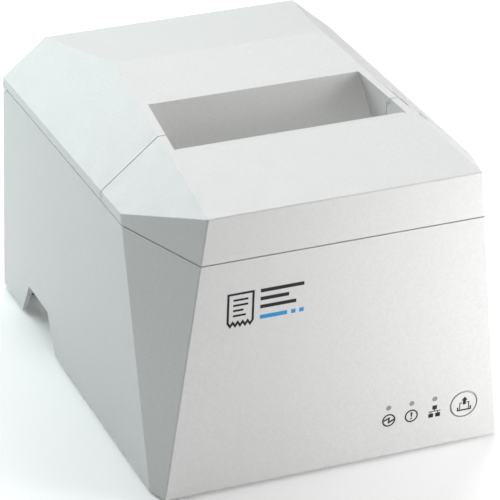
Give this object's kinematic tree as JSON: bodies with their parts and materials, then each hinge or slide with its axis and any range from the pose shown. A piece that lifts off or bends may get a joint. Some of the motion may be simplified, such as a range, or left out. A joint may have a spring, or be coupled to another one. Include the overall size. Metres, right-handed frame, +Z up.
{
  "type": "receipt printer",
  "caption": "Desktop thermal receipt printer with a hinged top lid over the paper roll, sliding front cover, tear slot, lid release lever, feed button and rear sockets.",
  "frame": {"origin": "on the table, under the middle of the printer", "axes": "+Z up, the front panel with the button faces -Y, +X to the right as seen from the front"},
  "size_m": [0.145, 0.1761, 0.1235],
  "materials": {
    "case_plastic": "fine-grained off-white ABS",
    "cover_plastic": "fine-grained off-white ABS",
    "tub_plastic": "fine-grained dark grey ABS",
    "button_plastic": "semi-gloss off-white plastic",
    "foot_rubber": "matt black rubber",
    "platen_rubber": "ground black silicone rubber",
    "zinc_sheet": "zinc-plated sheet steel",
    "screw_steel": "plated steel",
    "shaft_steel": "ground steel",
    "blade_steel": "hardened ground steel",
    "hook_steel": "pressed steel",
    "spring_wire": "spring wire",
    "bush_plastic": "natural acetal",
    "gear_plastic": "white acetal",
    "knob_plastic": "blue ABS",
    "motor_can": "plated steel can",
    "heatsink_alloy": "extruded aluminium",
    "head_ceramic": "glazed ceramic substrate",
    "board_green": "green solder mask",
    "chip_plastic": "black moulded components",
    "socket_plastic": "black nylon",
    "socket_shell": "tin-plated shell",
    "contact_metal": "plated contacts",
    "light_pipe": "milky clear polycarbonate",
    "flat_cable": "white flat cable"
  },
  "bodies": {
    "chassis": {"lower_case": "case_plastic", "base_tray": "case_plastic", "rubber_feet": "foot_rubber", "base_screws": "screw_steel", "paper_bucket": "tub_plastic", "mech_frame": "zinc_sheet", "frame_screws": "screw_steel", "head_spring_plate": "zinc_sheet", "head_springs": "spring_wire", "feed_motor": "motor_can", "idler_clip": "screw_steel", "cutter_frame": "zinc_sheet", "cutter_motor": "motor_can", "main_board": "board_green", "board_parts": "chip_plastic", "capacitors": "chip_plastic", "power_supply": "zinc_sheet", "connector_panel": "zinc_sheet", "panel_screws": "screw_steel", "ac_inlet": "socket_plastic", "inlet_pins": "contact_metal", "lan_jack": "socket_shell", "jack_contacts": "contact_metal", "usb_port": "socket_shell", "usb_tongue": "socket_plastic", "drawer_jack": "socket_plastic", "switch_housing": "socket_plastic", "button_spring": "spring_wire", "panel_board": "board_green", "panel_parts": "chip_plastic", "light_pipes": "light_pipe", "paper_sensor": "chip_plastic", "cover_switch": "chip_plastic", "head_cable": "flat_cable"},
    "lid": {"lid_cover": "cover_plastic", "hinge_pins": "screw_steel", "platen_carrier": "zinc_sheet", "platen_bushes": "bush_plastic", "fixed_blade": "blade_steel", "blade_screws": "screw_steel"},
    "platen": {"platen_shaft": "shaft_steel", "platen_rubber": "platen_rubber", "platen_gear": "gear_plastic", "shaft_clips": "screw_steel"},
    "feed_idler": {"feed_idler": "gear_plastic"},
    "feed_pinion": {"feed_pinion": "gear_plastic"},
    "latch": {"latch_shaft": "screw_steel", "latch_hooks": "hook_steel", "latch_crank": "hook_steel"},
    "lever": {"release_lever": "cover_plastic", "lever_pin": "screw_steel"},
    "front_cover": {"front_cover": "cover_plastic"},
    "cutter_blade": {"cutter_blade": "blade_steel"},
    "cutter_gear": {"cutter_gear": "gear_plastic", "cutter_knob": "knob_plastic"},
    "cutter_pinion": {"cutter_pinion": "gear_plastic"},
    "print_head": {"head_heatsink": "heatsink_alloy", "head_ceramic": "head_ceramic"},
    "power_rocker": {"power_rocker": "socket_plastic"},
    "feed_button": {"feed_button": "button_plastic"}
  },
  "joints": [
    {"name": "lid_hinge", "type": "hinge", "parent": "chassis", "child": "lid", "pos_m": [0, 0.0855, 0.0947], "axis": [-1, 0, 0], "range_deg": [0, 85]},
    {"name": "platen_spin", "type": "hinge", "parent": "lid", "child": "platen", "pos_m": [0, -0.018, 0.0895], "axis": [1, 0, 0], "continuous": true},
    {"name": "idler_spin", "type": "hinge", "parent": "chassis", "child": "feed_idler", "pos_m": [-0.0517, -0.01916, 0.07154], "axis": [1, 0, 0], "continuous": true},
    {"name": "pinion_spin", "type": "hinge", "parent": "chassis", "child": "feed_pinion", "pos_m": [-0.0517, -0.03, 0.0587], "axis": [1, 0, 0], "continuous": true},
    {"name": "lever_pull", "type": "hinge", "parent": "lid", "child": "lever", "pos_m": [0.05416, 0.00946, 0.1147], "axis": [-0.7604, 0.0251, 0.6489], "range_deg": [0, 15], "stiffness_Nm_per_rad": 0.08, "springref_deg": -8.59},
    {"name": "latch_turn", "type": "hinge", "parent": "lid", "child": "latch", "pos_m": [0, -0.006, 0.103], "axis": [1, 0, 0], "range_deg": [0, 18.5]},
    {"name": "front_cover_slide", "type": "slide", "parent": "chassis", "child": "front_cover", "axis": [0, -0.9994, 0.0352], "range_m": [0, 0.018]},
    {"name": "cutter_slide", "type": "slide", "parent": "chassis", "child": "cutter_blade", "axis": [0, 1, 0], "range_m": [0, 0.008]},
    {"name": "cutter_gear_spin", "type": "hinge", "parent": "chassis", "child": "cutter_gear", "pos_m": [-0.0164, -0.057, 0.101], "axis": [0, 0, 1], "range_deg": [0, 72]},
    {"name": "cutter_pinion_spin", "type": "hinge", "parent": "chassis", "child": "cutter_pinion", "pos_m": [-0.0359, -0.06415, 0.101], "axis": [0, 0, 1], "range_deg": [-240, 0]},
    {"name": "head_tilt", "type": "hinge", "parent": "chassis", "child": "print_head", "pos_m": [0, -0.028, 0.077], "axis": [1, 0, 0], "range_deg": [0, 3], "stiffness_Nm_per_rad": 0.6, "springref_deg": -14.32, "deforming": ["head_springs"]},
    {"name": "button_press", "type": "slide", "parent": "chassis", "child": "feed_button", "axis": [0, 1, 0], "range_m": [0, 0.0012], "stiffness_N_per_m": 700, "springref_m": -0.0015, "deforming": ["button_spring"]},
    {"name": "power_rocker_turn", "type": "hinge", "parent": "chassis", "child": "power_rocker", "pos_m": [-0.0175, 0.024, 0.016], "axis": [1, 0, 0], "range_deg": [0, 24]}
  ],
  "couplings": [
    {"joint": "idler_spin", "follows": "platen_spin", "ratio": -0.5},
    {"joint": "pinion_spin", "follows": "platen_spin", "ratio": 1.25},
    {"joint": "latch_turn", "follows": "lever_pull", "ratio": 1.2},
    {"joint": "cutter_gear_spin", "follows": "cutter_slide", "rad_per_m": 156.25},
    {"joint": "cutter_pinion_spin", "follows": "cutter_slide", "rad_per_m": -520.83}
  ]
}
